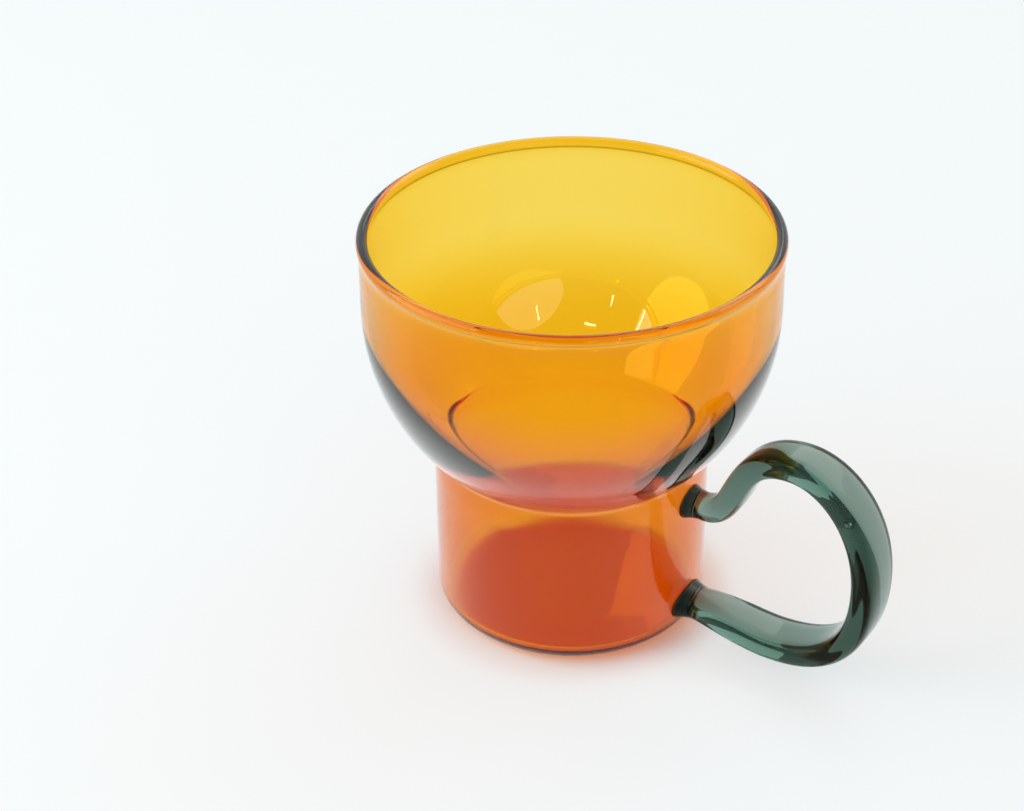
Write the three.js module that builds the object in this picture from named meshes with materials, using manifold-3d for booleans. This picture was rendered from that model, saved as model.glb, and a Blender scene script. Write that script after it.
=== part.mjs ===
// Coffee glass: an amber bowl on a drum-shaped foot, with a teal glass handle sealed to the foot.
// Millimetres, +Z up. The origin is the centre of the flat underside and the handle points along +X.

import * as THREE from 'three';
import { mergeVertices } from 'three/addons/utils/BufferGeometryUtils.js';
import Module from 'manifold-3d';

// Bowl
const GLASS_HEIGHT = 90.2; // table to the top of the rim
const BELLY_HEIGHT = 73.6; // table to where the bowl stops widening
const BOWL_RADIUS = 44; // outside, at the belly
const BOWL_WALL = 1.3; // at the belly and up to the lip
const INSIDE_TURN = 0.6; // belly down to where the inside starts to close in
const INSIDE_FULLNESS = 13; // how far the inside keeps straight down from there
const RIM_FLARE = 0.4; // how far the rim stands out past the belly
const RIM_BEAD = 2.5; // the lip, melted round, is thicker than the wall
const BEAD_HEIGHT = 3.4; // the lip's top down to the even wall
const BEAD_WRAP = 0.6; // how far the lip's round goes on below its middle, in radians

// Foot
const FOOT_HEIGHT = 39.7; // table to the crease under the bowl
const FOOT_RADIUS = 29.6; // outside
const FOOT_WALL = 2.2;
const FOOT_FLOOR = 2.4;
const FOOT_EDGE_ROUND = 5.2; // outside, where the wall turns into the floor
const FLOOR_ROUND = 2.3; // the same turn on the inside
const NECK_WALL = 2.7; // the glass is thicker where bowl and foot were drawn in
const NECK_LIP = 0.75; // crease up to where the bowl opens on the inside
const NECK_FLARE_OUT = 6.5; // how far the bowl keeps opening at that slope
const NECK_FLARE_UP = 6.8;
const NECK_TAPER = 8; // height over which the thick neck runs out into the foot's wall

// Handle: a rod of glass pressed flat, looping out of the foot and back
const STRAP_THICKNESS = 5.7; // in the plane of the loop
const UPPER_WIDTH = 7; // across the loop, at the upper seal
const GRIP_WIDTH = 12; // halfway along
const LOWER_WIDTH = 9.6; // at the lower seal
const STRAP_SQUARENESS = 0.55; // power that shapes the section: 1 is an oval, 0 a rectangle
const UPPER_SEAL_DROP = 6.5; // crease down to the upper arm's middle
const LOWER_SEAL_HEIGHT = 7.5; // table to the lower arm's middle
const CREST_OUT = 24.9; // foot wall to the top of the loop
const CREST_RISE = 18.3; // upper arm to the top of the loop
const HANDLE_REACH = 42.5; // foot wall to the loop's outermost point
const GRIP_RISE = 22.2; // lowest point of the loop to its outermost point
const DIP_OUT = 20.7; // foot wall to the loop's lowest point
const DIP_DEPTH = 1.9; // how far the loop sinks below the lower seal

// How far the curve keeps its direction at each of those points
const UPPER_ARM_PULL = 9.8;
const CREST_PULL_IN = 15.5;
const CREST_PULL_OUT = 8.6;
const GRIP_PULL_UP = 14.4;
const GRIP_PULL_DOWN = 15.5;
const DIP_PULL = 14;
const LOWER_ARM_PULL = 4.2;

// Seals: the flared ends where the hot handle was pressed on the foot
const SEAL_LENGTH = 3.2; // foot wall to the seal's outer face
const SEAL_SPREAD = 0.7; // how far the seal stands out past the strap at the wall, top and bottom
const SEAL_GAP = 0.3; // clearance to the round wall and to the strap's end

// Facets
const LATHE_SEGMENTS = 60;
const BOWL_STEPS = 11;
const NECK_STEPS = 5;
const ROUND_STEPS = 6;
const LIP_STEPS = 10;
const STRAP_STEPS = 52;
const STRAP_SIDES = 16;

// Derived places
const RIM_RADIUS = BOWL_RADIUS + RIM_FLARE;
const NECK_BORE = FOOT_RADIUS - NECK_WALL;
const FOOT_BORE = FOOT_RADIUS - FOOT_WALL;
const UPPER_SEAL_HEIGHT = FOOT_HEIGHT - UPPER_SEAL_DROP;
const SEAL_FACE = FOOT_RADIUS + SEAL_LENGTH;
const STRAP_START = SEAL_FACE + SEAL_GAP;
const QUARTER_TURN = Math.PI / 2;

const wasm = await Module();
wasm.setup();

const amberGlass = () => new THREE.MeshStandardMaterial({
  color: 0xe8860c,
  roughness: 0.04,
  metalness: 0,
  transparent: true,
  opacity: 0.55,
});

const tealGlass = () => new THREE.MeshStandardMaterial({
  color: 0x3c5c55,
  roughness: 0.05,
  metalness: 0,
  transparent: true,
  opacity: 0.7,
});

// Points of an arc of an ellipse in the profile plane, x outwards and y up
function arc(x, y, radiusX, radiusY, from, to, steps) {
  return new THREE.EllipseCurve(x, y, radiusX, radiusY, from, to, to < from).getPoints(steps);
}

// Points of a cubic curve in the profile plane
function bend(corners, steps) {
  const [start, startPull, endPull, end] = corners.map(([x, y]) => new THREE.Vector2(x, y));
  return new THREE.CubicBezierCurve(start, startPull, endPull, end).getPoints(steps);
}

// A closed profile turned about the Z axis
function turned(profile) {
  return new THREE.LatheGeometry([...profile, profile[0].clone()], LATHE_SEGMENTS).rotateX(QUARTER_TURN);
}

function bowlGeometry() {
  const neckAngle = Math.acos(FOOT_RADIUS / BOWL_RADIUS);
  const outsideDepth = (BELLY_HEIGHT - FOOT_HEIGHT) / Math.sin(neckAngle);
  const outside = arc(0, BELLY_HEIGHT, BOWL_RADIUS, outsideDepth, -neckAngle, 0, BOWL_STEPS);
  const beadRadius = RIM_BEAD / 2;
  const beadX = RIM_RADIUS - beadRadius;
  const beadY = GLASS_HEIGHT - beadRadius;
  const lip = arc(beadX, beadY, beadRadius, beadRadius, -BEAD_WRAP, Math.PI + BEAD_WRAP, LIP_STEPS);
  const insideBelly = BOWL_RADIUS - BOWL_WALL;
  const wallTop = GLASS_HEIGHT - BEAD_HEIGHT;
  const outerTop = new THREE.Vector2(BOWL_RADIUS, wallTop);
  const innerTop = new THREE.Vector2(insideBelly, wallTop);
  const turnHeight = BELLY_HEIGHT - INSIDE_TURN;
  const openingHeight = FOOT_HEIGHT + NECK_LIP;
  const inside = bend([
    [insideBelly, turnHeight],
    [insideBelly, turnHeight - INSIDE_FULLNESS],
    [NECK_BORE + NECK_FLARE_OUT, openingHeight + NECK_FLARE_UP],
    [NECK_BORE, openingHeight],
  ], BOWL_STEPS);
  const neckEnd = new THREE.Vector2(NECK_BORE, FOOT_HEIGHT);
  return turned([...outside, outerTop, ...lip, innerTop, ...inside, neckEnd]);
}

function footGeometry() {
  const outerRound = FOOT_RADIUS - FOOT_EDGE_ROUND;
  const innerRound = FOOT_BORE - FLOOR_ROUND;
  const edge = FOOT_EDGE_ROUND;
  const outerEdge = arc(outerRound, edge, edge, edge, -QUARTER_TURN, 0, ROUND_STEPS);
  const taperPull = FOOT_HEIGHT - NECK_TAPER / 2;
  const neck = bend([
    [NECK_BORE, FOOT_HEIGHT],
    [NECK_BORE, taperPull],
    [FOOT_BORE, taperPull],
    [FOOT_BORE, FOOT_HEIGHT - NECK_TAPER],
  ], NECK_STEPS);
  const floorHeight = FOOT_FLOOR + FLOOR_ROUND;
  const innerEdge = arc(innerRound, floorHeight, FLOOR_ROUND, FLOOR_ROUND, 0, -QUARTER_TURN, ROUND_STEPS);
  const profile = [
    new THREE.Vector2(0, 0),
    ...outerEdge,
    new THREE.Vector2(FOOT_RADIUS, FOOT_HEIGHT),
    ...neck,
    ...innerEdge,
    new THREE.Vector2(0, FOOT_FLOOR),
  ];
  return new THREE.LatheGeometry(profile, LATHE_SEGMENTS).rotateX(QUARTER_TURN);
}

// A chain of curves in the XZ plane whose frames keep their binormal on the Y axis
class LoopPath extends THREE.CurvePath {
  computeFrenetFrames(segments) {
    const across = new THREE.Vector3(0, 1, 0);
    const places = Array.from({ length: segments + 1 }, (_, k) => k / segments);
    const tangents = places.map((u) => this.getTangentAt(u).normalize());
    const normals = tangents.map((tangent) => new THREE.Vector3().crossVectors(across, tangent));
    const binormals = tangents.map(() => across.clone());
    return { tangents, normals, binormals };
  }
}

function handleRoute() {
  const at = (x, z) => new THREE.Vector3(x, 0, z);
  const crestX = FOOT_RADIUS + CREST_OUT;
  const crestZ = UPPER_SEAL_HEIGHT + CREST_RISE;
  const gripX = FOOT_RADIUS + HANDLE_REACH;
  const dipX = FOOT_RADIUS + DIP_OUT;
  const dipZ = LOWER_SEAL_HEIGHT - DIP_DEPTH;
  const gripZ = dipZ + GRIP_RISE;
  const route = new LoopPath();
  route.add(new THREE.CubicBezierCurve3(
    at(STRAP_START, UPPER_SEAL_HEIGHT),
    at(STRAP_START + UPPER_ARM_PULL, UPPER_SEAL_HEIGHT),
    at(crestX - CREST_PULL_IN, crestZ),
    at(crestX, crestZ),
  ));
  route.add(new THREE.CubicBezierCurve3(
    at(crestX, crestZ),
    at(crestX + CREST_PULL_OUT, crestZ),
    at(gripX, gripZ + GRIP_PULL_UP),
    at(gripX, gripZ),
  ));
  route.add(new THREE.CubicBezierCurve3(
    at(gripX, gripZ),
    at(gripX, gripZ - GRIP_PULL_DOWN),
    at(dipX + DIP_PULL, dipZ),
    at(dipX, dipZ),
  ));
  route.add(new THREE.CubicBezierCurve3(
    at(dipX, dipZ),
    at(dipX - LOWER_ARM_PULL, dipZ),
    at(STRAP_START + LOWER_ARM_PULL, LOWER_SEAL_HEIGHT),
    at(STRAP_START, LOWER_SEAL_HEIGHT),
  ));
  return route;
}

// Half the strap's width at a share of its length: one smooth swell through the three widths
function halfWidth(share) {
  const upper = UPPER_WIDTH * (1 - share) * (1 - 2 * share);
  const grip = GRIP_WIDTH * 4 * share * (1 - share);
  const lower = LOWER_WIDTH * share * (2 * share - 1);
  return (upper + grip + lower) / 2;
}

// A sine or cosine, moved out towards 1 so that a circle becomes a square with round corners
function squared(share) {
  return Math.sign(share) * Math.abs(share) ** STRAP_SQUARENESS;
}

function handleGeometry() {
  const route = handleRoute();
  const turns = Array.from({ length: STRAP_SIDES }, (_, k) => (4 * QUARTER_TURN * k) / STRAP_SIDES);
  const section = new THREE.Shape(turns.map((turn) => new THREE.Vector2(
    squared(Math.cos(turn)) * (STRAP_THICKNESS / 2),
    squared(Math.sin(turn)),
  )));
  const geometry = new THREE.ExtrudeGeometry(section, { steps: STRAP_STEPS, extrudePath: route });

  // The section is extruded two millimetres wide, then each ring takes the width of its own place
  const rings = route.getSpacedPoints(STRAP_STEPS);
  const position = geometry.getAttribute('position');
  const point = new THREE.Vector3();
  for (let index = 0; index < position.count; index += 1) {
    point.fromBufferAttribute(position, index).setY(0);
    const distances = rings.map((ring) => ring.distanceToSquared(point));
    const nearest = distances.indexOf(Math.min(...distances));
    position.setY(index, position.getY(index) * halfWidth(nearest / STRAP_STEPS));
  }
  return geometry;
}

// A solid for cutting, from a closed geometry
function solid(geometry) {
  const bare = geometry.clone();
  bare.deleteAttribute('normal');
  bare.deleteAttribute('uv');
  const merged = mergeVertices(bare, 1e-4);
  return new wasm.Manifold(new wasm.Mesh({
    numProp: 3,
    vertProperties: new Float32Array(merged.getAttribute('position').array),
    triVerts: new Uint32Array(merged.index.array),
  }));
}

function geometryOf(cutSolid) {
  const mesh = cutSolid.getMesh();
  const geometry = new THREE.BufferGeometry();
  geometry.setAttribute('position', new THREE.BufferAttribute(mesh.vertProperties, 3));
  geometry.setIndex(new THREE.BufferAttribute(mesh.triVerts, 1));
  geometry.computeVertexNormals();
  return geometry;
}

// A flared plug of the strap's section, from the strap's end into the foot, cut back to its wall
function sealGeometry(height, width) {
  const wallDepth = FOOT_RADIUS - FOOT_BORE;
  const length = SEAL_LENGTH + wallDepth;
  const spreadShare = SEAL_SPREAD / (STRAP_THICKNESS / 2);
  const flareAtRoot = 1 + spreadShare * (length / SEAL_LENGTH);
  const plug = new THREE.CylinderGeometry(1, flareAtRoot, length, STRAP_SIDES).rotateZ(-QUARTER_TURN);
  const corners = plug.getAttribute('position');
  for (let index = 0; index < corners.count; index += 1) {
    const y = corners.getY(index);
    const z = corners.getZ(index);
    const radius = Math.hypot(y, z);
    if (radius > 0) {
      corners.setY(index, radius * squared(y / radius));
      corners.setZ(index, radius * squared(z / radius));
    }
  }
  plug.scale(1, width / 2, STRAP_THICKNESS / 2).translate(SEAL_FACE - length / 2, 0, height);
  const wall = new THREE.CylinderGeometry(
    FOOT_RADIUS + SEAL_GAP,
    FOOT_RADIUS + SEAL_GAP,
    FOOT_HEIGHT,
    LATHE_SEGMENTS,
  )
    .rotateX(QUARTER_TURN)
    .translate(0, 0, FOOT_HEIGHT / 2);
  return geometryOf(solid(plug).subtract(solid(wall)));
}

function piece(name, geometry, material) {
  const mesh = new THREE.Mesh(geometry, material);
  mesh.name = name;
  return mesh;
}

const vessel = new THREE.Group();
vessel.add(piece('bowl', bowlGeometry(), amberGlass()));
vessel.add(piece('foot', footGeometry(), amberGlass()));

const handle = new THREE.Group();
handle.add(piece('handle_rod', handleGeometry(), tealGlass()));
handle.add(piece('upper_handle_seal', sealGeometry(UPPER_SEAL_HEIGHT, UPPER_WIDTH), tealGlass()));
handle.add(piece('lower_handle_seal', sealGeometry(LOWER_SEAL_HEIGHT, LOWER_WIDTH), tealGlass()));

const coffeeGlass = new THREE.Group();
coffeeGlass.add(vessel, handle);

export default coffeeGlass;
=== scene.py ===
# %% [markdown]
# # A coffee glass in amber and teal
# The real glass is blown in three moves: an amber bubble is drawn in at its middle, so that it
# becomes a wide bowl on a narrow drum, its top is opened and melted round, and a rod of teal glass
# is bent hot into a loop and pressed on the drum. This lesson makes it in that order, on top of a
# packed construction model that gives the outer sizes. Units are metres and +Z is up.

# %% Load the construction model
import math
import bmesh
import bpy
from mathutils import Matrix, Vector
from mathutils.geometry import interpolate_bezier


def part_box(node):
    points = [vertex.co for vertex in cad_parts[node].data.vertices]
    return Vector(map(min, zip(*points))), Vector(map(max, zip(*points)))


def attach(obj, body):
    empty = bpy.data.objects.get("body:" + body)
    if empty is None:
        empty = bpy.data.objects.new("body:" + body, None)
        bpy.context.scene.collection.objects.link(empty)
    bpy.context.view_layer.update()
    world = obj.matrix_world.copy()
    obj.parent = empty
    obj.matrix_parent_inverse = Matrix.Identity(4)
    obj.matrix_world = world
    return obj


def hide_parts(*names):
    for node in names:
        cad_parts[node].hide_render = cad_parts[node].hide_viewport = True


MM = 0.001

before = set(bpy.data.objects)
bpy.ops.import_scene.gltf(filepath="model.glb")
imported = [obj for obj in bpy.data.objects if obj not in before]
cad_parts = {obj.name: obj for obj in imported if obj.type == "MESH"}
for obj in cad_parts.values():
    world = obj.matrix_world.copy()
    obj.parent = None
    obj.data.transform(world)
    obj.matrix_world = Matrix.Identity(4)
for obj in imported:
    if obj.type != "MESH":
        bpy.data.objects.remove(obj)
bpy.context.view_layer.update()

# %% [markdown]
# ## Sizes
# The outer sizes could be typed in again, but then the two models would drift apart. They are read
# from the construction model, so that the glass stays in step with it. Wall thicknesses can't be
# read from a box, so each is written once, where it is needed, in millimetres times MM.

# %% Measure the pieces
_, bowl_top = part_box("bowl")
_, foot_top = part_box("foot")
_, loop_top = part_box("handle_rod")
upper_low, upper_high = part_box("upper_handle_seal")
lower_low, lower_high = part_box("lower_handle_seal")

GLASS_HEIGHT = bowl_top.z
FOOT_HEIGHT = foot_top.z
RIM_RADIUS = bowl_top.x
FOOT_RADIUS = foot_top.x
UPPER_ARM = (upper_low.z + upper_high.z) / 2
LOWER_ARM = (lower_low.z + lower_high.z) / 2
print("rim radius, foot radius, mm:", round(RIM_RADIUS / MM, 2), round(FOOT_RADIUS / MM, 2))
print("the handle reaches out to, mm:", round(loop_top.x / MM, 2))

# %% [markdown]
# ## Camera
# A product photograph is taken from far off with a long lens, a third of the way up from the table.
# The camera could be dragged into place, but numbers can be repeated. It stands on a line from its
# target, turned round the glass and raised, and rolled a touch, because the table in the picture
# isn't quite level.

# %% Aim the camera
TURN = math.radians(33)
RISE = math.radians(32.23)
ROLL = math.radians(-0.8)
DISTANCE = 514.84 * MM
TARGET = Vector((-10.67, -6.93, 47.59)) * MM
SENSOR = 36
IMAGE_WIDTH = 1024
FOCAL_PIXELS = 2400
NEAREST = 10 * MM

camera_data = bpy.data.cameras.new("camera")
camera_data.sensor_width = SENSOR
camera_data.lens = FOCAL_PIXELS * SENSOR / IMAGE_WIDTH
camera_data.clip_start = NEAREST
camera = bpy.data.objects.new("camera", camera_data)
towards = Vector((
    math.sin(TURN) * math.cos(RISE),
    -math.cos(TURN) * math.cos(RISE),
    math.sin(RISE),
))
camera.location = TARGET + DISTANCE * towards
camera.rotation_mode = "QUATERNION"
camera.rotation_quaternion = towards.to_track_quat("Z", "Y")
camera.rotation_quaternion.rotate(Matrix.Rotation(ROLL, 3, towards))
bpy.context.scene.collection.objects.link(camera)
bpy.context.scene.camera = camera
print("camera at, mm:", [round(c / MM, 1) for c in camera.location])

# %% [markdown]
# ## A small language for shaders
# A finish is a graph of nodes, and wiring it by hand hides the idea. This class holds one output of
# a node, so that sums and products can be written as Python and each adds its Math node. Any other
# node comes from `add`, which takes a type, its settings and what goes into its sockets. A Mix node
# has sockets for numbers, vectors and colours side by side, so its colours go by their places.

# %% Wrap a node's output
MIX_FIRST, MIX_SECOND, MIX_RESULT = 6, 7, 2


class Wire:
    """One output of a node in a shader tree."""

    def __init__(self, tree, socket):
        self.tree = tree
        self.socket = socket

    @staticmethod
    def add(tree, kind, settings=None, inputs=None, output=0):
        node = tree.nodes.new(kind)
        for name, value in (settings or {}).items():
            setattr(node, name, value)
        for name, value in (inputs or {}).items():
            if isinstance(value, Wire):
                tree.links.new(value.socket, node.inputs[name])
            else:
                node.inputs[name].default_value = value
        return Wire(tree, node.outputs[output])

    def math(self, operation, first, second):
        settings = {"operation": operation}
        return Wire.add(self.tree, "ShaderNodeMath", settings, {0: first, 1: second})

    def __add__(self, other):
        return self.math("ADD", self, other)

    def __radd__(self, other):
        return self.math("ADD", other, self)

    def __sub__(self, other):
        return self.math("SUBTRACT", self, other)

    def __rsub__(self, other):
        return self.math("SUBTRACT", other, self)

    def __mul__(self, other):
        return self.math("MULTIPLY", self, other)

    def __rmul__(self, other):
        return self.math("MULTIPLY", other, self)

    def either(self, other):
        """The larger of two values: one if either of two yes-or-no answers is one."""
        return self.math("MAXIMUM", self, other)

    def ramp(self, start, end, low=0, high=1):
        """Goes smoothly from low to high while this value goes from start to end."""
        limits = {"From Min": start, "From Max": end, "To Min": low, "To Max": high}
        smooth = {"interpolation_type": "SMOOTHSTEP"}
        return Wire.add(self.tree, "ShaderNodeMapRange", smooth, {"Value": self, **limits})

    def blend(self, first, second):
        """A colour between two, with this value as the share of the second."""
        colours = {MIX_FIRST: (*first, 1), MIX_SECOND: (*second, 1)}
        mix = {"data_type": "RGBA"}
        return Wire.add(self.tree, "ShaderNodeMix", mix, {0: self, **colours}, MIX_RESULT)


print("a wire can be added, subtracted, multiplied, ramped and used to blend colours")

# %% [markdown]
# ## Rays
# A ray tracer follows light backwards, from the camera to the lamps, and a finish can ask what
# kind of ray has just met it. The glass lets shadow rays pass, and the paper and the room answer
# mirrored rays in their own way. A mirrored ray counts as glossy, but so does one that was bent
# through glass, so the second kind is taken out.

# %% Ask what kind of ray it is
def ray_kind(tree, name):
    """One when the ray that asks is of that kind, or else nought."""
    return Wire.add(tree, "ShaderNodeLightPath", output=name)


def mirror_ray(tree):
    """One for a ray that was mirrored, but not for one that was bent through glass."""
    return ray_kind(tree, "Is Glossy Ray") * (1 - ray_kind(tree, "Is Transmission Ray"))


def new_shader(name):
    """A material with an empty tree and its output node."""
    material = bpy.data.materials.new(name)
    material.use_nodes = True
    tree = material.node_tree
    tree.nodes.clear()
    print("new finish:", name)
    return material, tree, tree.nodes.new("ShaderNodeOutputMaterial")


# %% [markdown]
# ## Table
# The glass stands on a sheet of white paper that is larger than the picture. A plane with one face
# is all it needs. It lies a hair below the glass, because two faces in one place would flicker.

# %% Lay the paper
PAPER_SIZE = 4.0
PAPER_DROP = 0.2 * MM

shape = bmesh.new()
bmesh.ops.create_grid(shape, x_segments=1, y_segments=1, size=PAPER_SIZE)
bmesh.ops.translate(shape, verts=shape.verts, vec=(0, 0, -PAPER_DROP))
paper_mesh = bpy.data.meshes.new("paper")
shape.to_mesh(paper_mesh)
shape.free()
paper = bpy.data.objects.new("paper", paper_mesh)
bpy.context.scene.collection.objects.link(paper)
print("paper is", 2 * PAPER_SIZE, "m wide")

# %% [markdown]
# Paper scatters light in every direction, so a plain rough surface is right, with a faint mottle so
# that it isn't dead. In a studio it would be bleached by more light, which would wash out the glass
# as well. Here the lamps stay low, and the paper answers with white of its own to the camera, to
# rays that came through the glass and to mirrored ones. Near the foot it doesn't, so that the shade
# under the glass stays.

# %% Bleach the paper
MOTTLE_SCALE = 60
MOTTLE_DULL = (0.905, 0.94, 0.947)
MOTTLE_FRESH = (0.925, 0.96, 0.967)
WHITE_OPEN = (0.91, 0.95, 0.957)
WHITE_THROUGH_GLASS = (1, 1, 1)
BLEACH = 0.6
BLEACH_MIRRORED = 0.9
SHADE_RADIUS = 28 * MM
OPEN_RADIUS = 39 * MM


def from_axis(tree, place):
    """How far a place is from the upright axis."""
    times = {"operation": "MULTIPLY"}
    flat = Wire.add(tree, "ShaderNodeVectorMath", times, {0: place, 1: (1, 1, 0)})
    return Wire.add(tree, "ShaderNodeVectorMath", {"operation": "LENGTH"}, {0: flat}, "Value")


paper_finish, tree, output = new_shader("white_paper")
place = Wire.add(tree, "ShaderNodeTexCoord", output="Object")
grain = {"Vector": place, "Scale": MOTTLE_SCALE, "Detail": 2}
mottle = Wire.add(tree, "ShaderNodeTexNoise", {}, grain)
rough_paper = {
    "Base Color": mottle.blend(MOTTLE_DULL, MOTTLE_FRESH),
    "Roughness": 0.9,
    "IOR": 1.3,
}
paper_surface = Wire.add(tree, "ShaderNodeBsdfPrincipled", {}, rough_paper)

through_glass = ray_kind(tree, "Is Transmission Ray")
white_colour = through_glass.blend(WHITE_OPEN, WHITE_THROUGH_GLASS)
white = Wire.add(tree, "ShaderNodeEmission", {}, {"Color": white_colour, "Strength": 1.0})
open_paper = from_axis(tree, place).ramp(SHADE_RADIUS, OPEN_RADIUS)
seen_straight = (ray_kind(tree, "Is Camera Ray") + through_glass) * BLEACH
seen = (seen_straight + mirror_ray(tree) * BLEACH_MIRRORED) * open_paper
bleached = Wire.add(tree, "ShaderNodeMixShader", {}, {0: seen, 1: paper_surface, 2: white})
tree.links.new(bleached.socket, output.inputs["Surface"])
paper_mesh.materials.append(paper_finish)
print("nodes in the paper:", len(tree.nodes))

# %% [markdown]
# ## Light
# Glass has no colour on its surface: it shows what stands behind it and what it mirrors. So the
# room matters as much as the lamps. A picture of a studio could stand in for it, but a pale sky
# with one dark part is enough. High up on the camera's side, mirrored rays find the dark, as they
# do in a studio that is unlit behind the camera, or else a veil would lie over the bowl.

# %% Set the room
ROOM_PALE = (0.97, 0.99, 1.0)
ROOM_DARK = (0.04, 0.04, 0.04)
ROOM_LEVEL = 0.545
MIRRORED_LEVEL = 0.385
DARK_HEIGHT = (0.1, 0.3)
DARK_FRONT = (0.0, 0.3)

world = bpy.data.worlds.new("room")
bpy.context.scene.world = world
world.use_nodes = True
tree = world.node_tree
tree.nodes.clear()
output = tree.nodes.new("ShaderNodeOutputWorld")
direction = Wire.add(tree, "ShaderNodeTexCoord", output="Generated")
height = Wire.add(tree, "ShaderNodeSeparateXYZ", {}, {0: direction}, "Z")
sides = {0: direction, 1: (math.sin(TURN), -math.cos(TURN), 0)}
front = Wire.add(tree, "ShaderNodeVectorMath", {"operation": "DOT_PRODUCT"}, sides, "Value")
dark = mirror_ray(tree) * height.ramp(*DARK_HEIGHT) * front.ramp(*DARK_FRONT)
glow = {
    "Color": dark.blend(ROOM_PALE, ROOM_DARK),
    "Strength": ROOM_LEVEL + mirror_ray(tree) * MIRRORED_LEVEL,
}
room = Wire.add(tree, "ShaderNodeBackground", {}, glow)
tree.links.new(room.socket, output.inputs["Surface"])
bpy.context.scene.view_settings.view_transform = "Standard"
print("the room glows at", ROOM_LEVEL)

# %% [markdown]
# A point lamp would leave a hard spot and a hard shadow. Area lamps are as large as they look, and
# the glass mirrors their shapes: a round softbox at the left, which throws the faint shadow to the
# right, a wide window behind, a white panel at the right in front, and four thin tubes, which are
# the short bright strokes on the glass.

# %% Hang the lamps
LAMP_TARGET = Vector((0, 0, 0.05))
TUBE_WATTS = 40


def soft_lamp(name, shape, place, width, depth, watts):
    """A lamp of its own size, aimed at the middle of the glass."""
    data = bpy.data.lights.new(name, "AREA")
    data.shape = shape
    data.size = width
    data.size_y = depth
    data.energy = watts
    lamp = bpy.data.objects.new(name, data)
    lamp.location = place
    aim = LAMP_TARGET - Vector(place)
    lamp.rotation_euler = aim.to_track_quat("-Z", "Y").to_euler()
    bpy.context.scene.collection.objects.link(lamp)


soft_lamp("round_softbox", "DISK", (-0.68, -0.59, 0.55), 1.0, 1.0, 7.5)
soft_lamp("window", "RECTANGLE", (0.15, 0.83, 0.83), 1.35, 0.45, 3.3)
soft_lamp("white_panel", "ELLIPSE", (0.92, -0.51, 0.63), 0.95, 0.5, 1.7)
tubes = (
    ((0.75, -0.49, 0.70), 0.02, 0.10),
    ((0.05, -1.01, 0.65), 0.02, 0.10),
    ((0.24, -0.84, 0.82), 0.14, 0.02),
    ((-0.36, -0.92, 0.67), 0.02, 0.20),
)
for number, (place, width, depth) in enumerate(tubes, start=1):
    watts = TUBE_WATTS * width * depth
    soft_lamp(f"tube_{number}", "RECTANGLE", place, width, depth, watts)

# %% [markdown]
# ## Tinted glass
# Both colours are the same kind of material: a clear surface that bends light, filled with a tint
# that swallows light little by little. A painted colour would look the same in thin and thick
# places. Absorption gets deeper with every millimetre, so a thin wall is yellow and a thick one
# red, from one single tint. A slow swell of the surface bends reflections as hand-blown glass does.
# Seeds, the tiny bubbles close under the skin, are low domes on that swell.

# %% Shape the skin of the glass
def glass_relief(tree, place, swell_scale, swell_height, seeds):
    """The slow swell of hand-blown glass, with a dome over each seed."""
    waves = {"Vector": place, "Scale": swell_scale, "Detail": 1}
    relief = Wire.add(tree, "ShaderNodeTexNoise", {}, waves) * swell_height
    for centre, radius in seeds:
        ends = {0: place, 1: centre}
        away = Wire.add(tree, "ShaderNodeVectorMath", {"operation": "DISTANCE"}, ends, "Value")
        relief = relief + away.ramp(0, radius, radius, 0)
    bump = {"Height": relief, "Strength": 1.0, "Distance": 1.0}
    return Wire.add(tree, "ShaderNodeBump", {}, bump)


def glass_coat(tree, place, shine):
    """The extra gloss of the outer side, which grows or fades from one height to another."""
    z = Wire.add(tree, "ShaderNodeSeparateXYZ", {}, {0: place}, "Z")
    inner_side = Wire.add(tree, "ShaderNodeNewGeometry", output="Backfacing")
    return sum(z.ramp(low, high, 0, change) for low, high, change in shine) * (1 - inner_side)


# %% [markdown]
# Where the teal rod lies on the amber wall, light that goes through both glasses is nearly all
# swallowed, so the joint looks dark. A rough sheet could be modelled between them, but it would
# be a piece that isn't there. The dark is painted shade on the handle, within a hair of the wall.

# %% Paint shade on a seal
# How far the painted shade at a seal fades out, and its near-black colour.
SEAL_FADE = 0.3 * MM
SEAL_SHADE_COLOUR = (0.012, 0.008, 0.004, 1)


def paint_seal_shade(tree, place, surface, wall_radius):
    """The surface, with painted shade where it lies on a round wall of that radius."""
    seal_shade_share = from_axis(tree, place).ramp(wall_radius, wall_radius + SEAL_FADE, 1, 0)
    # A near-black surface: painted shade for the joint.
    skin = {"Base Color": SEAL_SHADE_COLOUR, "Roughness": 0.4}
    dark = Wire.add(tree, "ShaderNodeBsdfPrincipled", {}, skin)
    return Wire.add(tree, "ShaderNodeMixShader", {}, {0: seal_shade_share, 1: surface, 2: dark})


# %% [markdown]
# Glass stops shadow rays as a wall does, unless light that is bent through it is followed all the
# way, which takes very many samples. The usual way out is to let shadow rays, and the scattered
# rays of the paper, go straight on as if the surface were clear. The tint inside still colours
# them, so the shadow is amber. Breath-thin smears change the polish from place to place.

# %% Mix a tinted glass
GLASS_INDEX = 1.47
MIRROR = (0.27, 0.24, 0.13, 1)
SMEAR_ROUGHNESS = 0.012
CLEAR = (0.95, 0.95, 0.93, 1)


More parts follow.
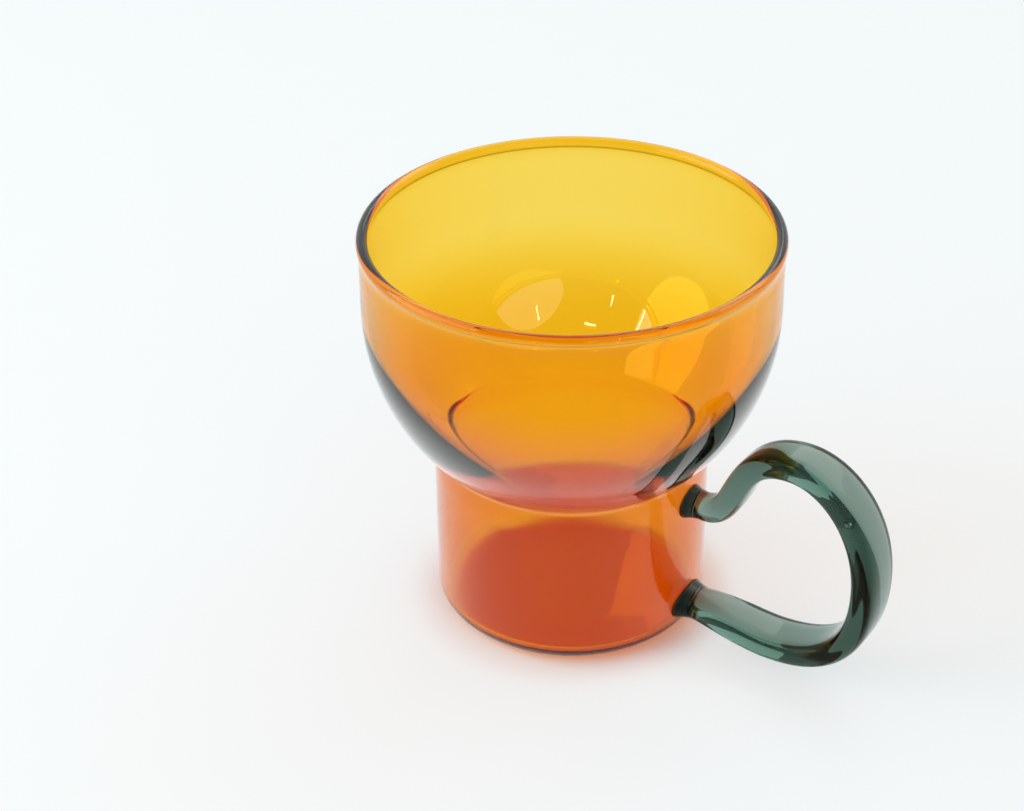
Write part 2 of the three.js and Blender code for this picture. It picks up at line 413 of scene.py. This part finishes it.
def tinted_glass(name, tint, density, smear_scale, swell, shine=(), seeds=(), wall_radius=None):
    """Glass that lets through the colour `tint`, less of it the deeper light goes."""
    material, tree, output = new_shader(name)
    place = Wire.add(tree, "ShaderNodeTexCoord", output="Object")
    breath = {"Vector": place, "Scale": smear_scale, "Detail": 4}
    smear = Wire.add(tree, "ShaderNodeTexNoise", {}, breath)
    skin = {
        "Base Color": (1, 1, 1, 1),
        "Roughness": smear * SMEAR_ROUGHNESS,
        "Normal": glass_relief(tree, place, *swell, seeds),
        "IOR": GLASS_INDEX,
        "Specular Tint": MIRROR,
        "Transmission Weight": 1,
    }
    if shine:
        skin["Coat Weight"] = glass_coat(tree, place, shine)
        skin["Coat Roughness"] = 0
    surface = Wire.add(tree, "ShaderNodeBsdfPrincipled", {}, skin)
    # Painted shade where the handle's ends lie on the drum.
    if wall_radius:
        surface = paint_seal_shade(tree, place, surface, wall_radius)
    clear = Wire.add(tree, "ShaderNodeBsdfTransparent", {}, {"Color": CLEAR})
    passing = ray_kind(tree, "Is Shadow Ray").either(ray_kind(tree, "Is Diffuse Ray"))
    both = Wire.add(tree, "ShaderNodeMixShader", {}, {0: passing, 1: surface, 2: clear})
    body = {"Color": (*tint, 1), "Density": density}
    filling = Wire.add(tree, "ShaderNodeVolumeAbsorption", {}, body)
    tree.links.new(both.socket, output.inputs["Surface"])
    tree.links.new(filling.socket, output.inputs["Volume"])
    return material


# %% [markdown]
# The amber is strong, because the wall is little more than a millimetre thick. Its gloss is
# strongest low on the bowl, fades out towards the belly and comes back at the lip, as the picture
# shows. The teal is weaker, because the handle is more than four times as thick, and it has three
# seeds. Each seed is a place and a radius, and each change of gloss runs between two heights.

# %% Make the two glasses
AMBER_TINT, AMBER_DENSITY = (0.982, 0.843, 0.0), 1700
TEAL_TINT, TEAL_DENSITY = (0.0, 0.25, 0.17), 235
AMBER_SMEAR, AMBER_SWELL = 30, (25, 0.02 * MM)
TEAL_SMEAR, TEAL_SWELL = 40, (60, 0.2 * MM)
# How far past the drum's wall the painted shade on the seals stays full.
SEAL_SHADE_REACH = 0.1 * MM

bowl_shine = (
    (-1 * MM, 0, 0.5),
    (38 * MM, 44 * MM, 0.4),
    (56 * MM, 74 * MM, -0.9),
    (85 * MM, 88 * MM, 0.35),
)
handle_seeds = (
    (Vector((68.5, -6.1, 44.8)) * MM, 1.0 * MM),
    (Vector((71.6, -3.2, 39.0)) * MM, 0.45 * MM),
    (Vector((60.8, -4.4, 50.9)) * MM, 0.4 * MM),
)
amber_glass = tinted_glass(
    "amber_glass", AMBER_TINT, AMBER_DENSITY, AMBER_SMEAR, AMBER_SWELL, shine=bowl_shine
)
teal_glass = tinted_glass(
    "teal_glass",
    TEAL_TINT,
    TEAL_DENSITY,
    TEAL_SMEAR,
    TEAL_SWELL,
    seeds=handle_seeds,
    # Painted shade on the handle's seals, full up to this radius.
    wall_radius=FOOT_RADIUS + SEAL_SHADE_REACH,
)
print("glasses:", amber_glass.name, teal_glass.name)

# %% [markdown]
# ## Vessel
# Bowl and drum are one skin of glass, so they are one mesh: its section is drawn once and turned
# round the axis. The section runs up the outside, over the melted lip and down the inside. Long
# stretches are Bezier curves, which need only their ends and two handles, and a quarter of a circle
# is such a curve with its handles at 0.5523 of the way to the corner.

# %% Make a pencil for the section
QUARTER = 0.5523
SAME_PLACE = 0.01 * MM

section = []


def draw(points):
    """Adds points to the section, each as (radius, height), without repeating the last one."""
    for x, z in points:
        here = Vector((x, 0, z))
        if not section or (here - section[-1]).length > SAME_PLACE:
            section.append(here)


def curve(start, pull, push, end, steps):
    """Points of a cubic curve from start to end, given as (radius, height)."""
    corners = [Vector((x, 0, z)) for x, z in (start, pull, push, end)]
    return [(point.x, point.z) for point in interpolate_bezier(*corners, steps)]


def round_corner(start, corner, end, steps):
    """A quarter of a circle from start to end, bulging towards their corner."""
    pull = [s + QUARTER * (c - s) for s, c in zip(start, corner)]
    push = [e + QUARTER * (c - e) for e, c in zip(end, corner)]
    return curve(start, pull, push, end, steps)


# %% [markdown]
# The drum stands on a flat floor with a well rounded edge. Under the crease it is drawn in by a
# quarter of a millimetre, where the hot bubble was held. Above the crease the bowl opens as a part
# of an ellipse, upright at the belly.

# %% Draw the outside
FLOOR_RINGS = (8 * MM, 16 * MM)
FOOT_EDGE = 5.2 * MM
DRUM_RINGS = (12 * MM, 18 * MM, 24 * MM, 30 * MM)
WAIST = 0.25 * MM
WAIST_START, WAIST_PULL = 34 * MM, 36.4 * MM
WAIST_PUSH, WAIST_END = 37.2 * MM, 39.4 * MM
BELLY_HEIGHT = 73.6 * MM
BOWL_RADIUS = 44 * MM
BOWL_STEPS = 48

draw([(ring, 0) for ring in (0, *FLOOR_RINGS)])
edge_start, edge_end = (FOOT_RADIUS - FOOT_EDGE, 0), (FOOT_RADIUS, FOOT_EDGE)
draw(round_corner(edge_start, (FOOT_RADIUS, 0), edge_end, steps=14))
draw([(FOOT_RADIUS, ring) for ring in DRUM_RINGS])
waist = FOOT_RADIUS - WAIST
draw(curve(
    (FOOT_RADIUS, WAIST_START),
    (FOOT_RADIUS, WAIST_PULL),
    (waist, WAIST_PUSH),
    (waist, WAIST_END),
    steps=10,
))
neck_angle = math.acos(FOOT_RADIUS / BOWL_RADIUS)
bowl_depth = (BELLY_HEIGHT - FOOT_HEIGHT) / math.sin(neck_angle)
angles = [neck_angle * (step / BOWL_STEPS - 1) for step in range(BOWL_STEPS + 1)]
draw([
    (BOWL_RADIUS * math.cos(angle), BELLY_HEIGHT + bowl_depth * math.sin(angle))
    for angle in angles
])
print("points up the outside:", len(section))

# %% [markdown]
# A cut edge of glass is held in the flame until it melts into a bead, a little thicker than the
# wall, with a slight pinch below it. A bevel would give a round edge but no bead, so the bead is
# drawn as the greater part of a circle.

# %% Draw the lip
BOWL_WALL = 1.3 * MM
BEAD = 1.25 * MM
BEAD_WRAP = 0.6
PINCH_DROP, PINCH_DEPTH = 0.5 * MM, 0.35 * MM
BELLY_RINGS = (77 * MM, 81 * MM)
LIP_START, LIP_PULL = 84.5 * MM, 86.5 * MM
LIP_STEPS = 24

inside = BOWL_RADIUS - BOWL_WALL
bead_x = RIM_RADIUS - BEAD
bead_z = GLASS_HEIGHT - BEAD
wrap_x = BEAD * math.cos(BEAD_WRAP)
wrap_z = bead_z - BEAD * math.sin(BEAD_WRAP)
outer_wrap = (bead_x + wrap_x, wrap_z)
inner_wrap = (bead_x - wrap_x, wrap_z)
pinch = wrap_z - PINCH_DROP
outer_pinch = (outer_wrap[0] - PINCH_DEPTH, pinch)
inner_pinch = (inner_wrap[0] + PINCH_DEPTH, pinch)

draw([(BOWL_RADIUS, ring) for ring in BELLY_RINGS])
draw(curve((BOWL_RADIUS, LIP_START), (BOWL_RADIUS, LIP_PULL), outer_pinch, outer_wrap, steps=10))
whole_wrap = math.pi + 2 * BEAD_WRAP
turns = [-BEAD_WRAP + whole_wrap * step / LIP_STEPS for step in range(LIP_STEPS + 1)]
draw([(bead_x + BEAD * math.cos(turn), bead_z + BEAD * math.sin(turn)) for turn in turns])
draw(curve(inner_wrap, inner_pinch, (inside, LIP_PULL), (inside, LIP_START), steps=10))
print("points up to the inside of the lip:", len(section))

# %% [markdown]
# A solidify modifier would make the wall the same all over. Blown glass is thinnest where it was
# blown out most, so the inside has a line of its own: thin at the belly, thick at the neck, and
# thinner again in the drum. What the wall bends and swallows depends on this line more than on
# anything else, and the dark hooks low in the bowl come from it.

# %% Draw the inside
BELLY_INSIDE = 79 * MM
SHOULDER, SHOULDER_PULL = 73 * MM, 60 * MM
THROAT_PUSH = (33.4 * MM, 47.3 * MM)
THROAT = (27.3 * MM, 40.9 * MM)
THROAT_PULL = (27.02 * MM, 40.6 * MM)
NECK_BORE = 26.9 * MM
NECK_PUSH, NECK_END = 40.1 * MM, 39.5 * MM
TAPER_END = 31.7 * MM
FOOT_WALL = 2.2 * MM
FOOT_FLOOR = 2.4 * MM
FLOOR_ROUND = 2.3 * MM
BORE_RINGS = (27 * MM, 20 * MM, 14 * MM, 9 * MM)

draw([(inside, BELLY_INSIDE)])
draw(curve((inside, SHOULDER), (inside, SHOULDER_PULL), THROAT_PUSH, THROAT, steps=48))
neck = (NECK_BORE, NECK_END)
draw(curve(THROAT, THROAT_PULL, (NECK_BORE, NECK_PUSH), neck, steps=8))
bore = FOOT_RADIUS - FOOT_WALL
half_taper = (NECK_END + TAPER_END) / 2
draw(curve(neck, (NECK_BORE, half_taper), (bore, half_taper), (bore, TAPER_END), steps=10))
draw([(bore, ring) for ring in BORE_RINGS])
floor_edge = (bore - FLOOR_ROUND, FOOT_FLOOR)
draw(round_corner((bore, FOOT_FLOOR + FLOOR_ROUND), (bore, FOOT_FLOOR), floor_edge, steps=10))
draw([(ring, FOOT_FLOOR) for ring in (*reversed(FLOOR_RINGS), 0)])
print("points in the whole section:", len(section))

# %% [markdown]
# The section becomes a chain of edges, and spin sweeps it round the axis. A full spin needs
# use_merge, so that its last copy is welded to the first, and its faces can come out inside out, so
# the normals are worked out again. A sensible volume is a sign that the wall is closed.

# %% Turn the vessel
SPIN_STEPS = 160
WELD = 0.001 * MM
MILLILITRE = 1e-6


def make_piece(name, shape, finish):
    """Turns a finished bmesh into a smooth object, and says how much glass it holds."""
    bmesh.ops.recalc_face_normals(shape, faces=shape.faces)
    for face in shape.faces:
        face.smooth = True
    mesh = bpy.data.meshes.new(name)
    shape.to_mesh(mesh)
    print(f"glass in the {name}, ml:", round(shape.calc_volume() / MILLILITRE, 1))
    shape.free()
    mesh.materials.append(finish)
    piece = bpy.data.objects.new(name, mesh)
    bpy.context.scene.collection.objects.link(piece)
    return piece


shape = bmesh.new()
chain = [shape.verts.new(point) for point in section]
for first, second in zip(chain, chain[1:]):
    shape.edges.new((first, second))
bmesh.ops.spin(
    shape,
    geom=shape.verts[:] + shape.edges[:],
    cent=(0, 0, 0),
    axis=(0, 0, 1),
    angle=math.tau,
    steps=SPIN_STEPS,
    use_merge=True,
)
bmesh.ops.remove_doubles(shape, verts=shape.verts, dist=WELD)
vessel = make_piece("vessel", shape, amber_glass)
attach(vessel, "root")
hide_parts("bowl", "foot")

# %% [markdown]
# ## Handle
# The handle began as a round rod. Pressed flat while it was bent, it became a strap with rounded
# corners, widest at the grip, and stayed oval near its ends. A curve with a bevel would give one
# section all along, so a ring of points is carried along the route of the loop instead. The route
# is four Bezier curves through the crest, the grip and the dip, and X and Z are one millimetre.

# %% Draw the route of the loop
WALL_CLEARANCE = 0.05 * MM
SEAL_LENGTH = 3.5 * MM
LOOP_STEPS = 80
CREST = Vector((54.5, 0, 51.5)) * MM
GRIP = Vector((72.1, 0, 27.8)) * MM
DIP = Vector((50.3, 0, 5.6)) * MM
UPPER_PULL, CREST_PUSH = 9.8, 15.5
CREST_PULL, GRIP_PUSH = 8.6, 14.4
GRIP_PULL, DIP_PUSH = 15.5, 14
DIP_PULL, LOWER_PUSH = 4.2, 4.2

X = Vector((MM, 0, 0))
Z = Vector((0, 0, MM))
wall = FOOT_RADIUS + WALL_CLEARANCE
arm_start = FOOT_RADIUS + SEAL_LENGTH
upper_start = Vector((arm_start, 0, UPPER_ARM))
lower_end = Vector((arm_start, 0, LOWER_ARM))

route = []
for corners in (
    (upper_start, upper_start + UPPER_PULL * X, CREST - CREST_PUSH * X, CREST),
    (CREST, CREST + CREST_PULL * X, GRIP + GRIP_PUSH * Z, GRIP),
    (GRIP, GRIP - GRIP_PULL * Z, DIP + DIP_PUSH * X, DIP),
    (DIP, DIP - DIP_PULL * X, lower_end + LOWER_PUSH * X, lower_end),
):
    points = interpolate_bezier(*corners, LOOP_STEPS + 1)
    route += points[1:] if route else points
lengths = [0]
for first, second in zip(route, route[1:]):
    lengths.append(lengths[-1] + (second - first).length)
print("loop length, mm:", round(lengths[-1] / MM, 1))

# %% [markdown]
# A station says where a ring goes: its centre, the way along the route, its width, its thickness
# and how square it is. A power of 2 is an oval, and a higher one a rectangle with rounded corners.
# The seals at both ends are flared, because hot glass spreads where it is pushed on a wall.

# %% Plan the stations
STRAP_THICKNESS = 5.69 * MM
UPPER_WIDTH = 7 * MM
GRIP_WIDTH = 12 * MM
LOWER_WIDTH = 9.6 * MM
SEAL_FLARE = 1.25
SEAL_STEPS = 8
OVAL = 2
SQUARENESS = 3.6
ROUND_ARM = 10 * MM


def width_at(share):
    """The strap's width at a share of its length: one smooth swell through the three widths."""
    upper = UPPER_WIDTH * (1 - share) * (1 - 2 * share)
    middle = GRIP_WIDTH * 4 * share * (1 - share)
    lower = LOWER_WIDTH * share * (2 * share - 1)
    return upper + middle + lower


def seal_stations(height, along, width):
    """The stations of one seal, from the wall to the start of its arm."""
    found = []
    for step in range(SEAL_STEPS):
        gone = step / SEAL_STEPS
        flare = 1 + (SEAL_FLARE - 1) * (1 - gone) ** 2
        centre = Vector((wall + (arm_start - wall) * gone, 0, height))
        found.append((centre, along, width * flare, STRAP_THICKNESS * flare, OVAL))
    return found


stations = seal_stations(UPPER_ARM, Vector((1, 0, 0)), UPPER_WIDTH)
for index, point in enumerate(route):
    along = route[min(index + 1, len(route) - 1)] - route[max(index - 1, 0)]
    from_seal = min(lengths[index], lengths[-1] - lengths[index])
    power = OVAL + (SQUARENESS - OVAL) * min(from_seal / ROUND_ARM, 1)
    width = width_at(lengths[index] / lengths[-1])
    stations.append((point, along, width, STRAP_THICKNESS, power))
stations += reversed(seal_stations(LOWER_ARM, Vector((-1, 0, 0)), LOWER_WIDTH))
print("stations along the handle:", len(stations))

# %% [markdown]
# Each ring is set square to the route: its thin way lies in the plane of the loop, its wide way
# along Y. One circle is made, and from it every next ring is extruded and moved to its station.

# %% Extrude the strap along the route
RING_SIDES = 144


def place_ring(verts, centre, along, width, thickness, power):
    """Moves a ring, wherever it is, about its centre and square to the way along."""
    out = Vector((0, 1, 0)).cross(along).normalized()
    for index, vert in enumerate(verts):
        angle = math.tau * index / RING_SIDES
        reach = (abs(math.cos(angle)) ** power + abs(math.sin(angle)) ** power) ** (-1 / power)
        thin = thickness / 2 * reach * math.cos(angle)
        wide = width / 2 * reach * math.sin(angle)
        vert.co = centre + out * thin + Vector((0, wide, 0))


def next_ring(shape, ring):
    """Extrudes a closed ring and returns the new one, in the same order."""
    edges = [shape.edges.get((a, b)) for a, b in zip(ring, ring[1:] + ring[:1])]
    made = set(bmesh.ops.extrude_edge_only(shape, edges=edges)["geom"])
    beside = [[edge.other_vert(vert) for edge in vert.link_edges] for vert in ring]
    return [next(other for other in others if other in made) for others in beside]


shape = bmesh.new()
first_ring = bmesh.ops.create_circle(shape, segments=RING_SIDES, radius=1)["verts"]
place_ring(first_ring, *stations[0])
last_ring = first_ring
for station in stations[1:]:
    last_ring = next_ring(shape, last_ring)
    place_ring(last_ring, *station)
print("points in the strap:", len(shape.verts))

# %% [markdown]
# The two ends lie on the drum's round wall. One flat face would cut through it, so each end is
# closed with a few smaller and smaller rings, all pushed along X until they lie on the wall.

# %% Close the ends
CAP_SHARES = (0.75, 0.5, 0.25, 0.08)


def lay_on_wall(ring):
    """Pushes a ring along X until it lies on the drum's wall."""
    for vert in ring:
        vert.co.x = math.sqrt(wall ** 2 - vert.co.y ** 2)


for cap, height in ((first_ring, UPPER_ARM), (last_ring, LOWER_ARM)):
    rim = [vert.co.copy() for vert in cap]
    lay_on_wall(cap)
    for share in CAP_SHARES:
        cap = next_ring(shape, cap)
        for vert, corner in zip(cap, rim):
            vert.co = Vector((wall, corner.y * share, height + (corner.z - height) * share))
        lay_on_wall(cap)
    bmesh.ops.contextual_create(shape, geom=cap)
handle = make_piece("handle", shape, teal_glass)
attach(handle, "root")
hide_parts("handle_rod", "upper_handle_seal", "lower_handle_seal")
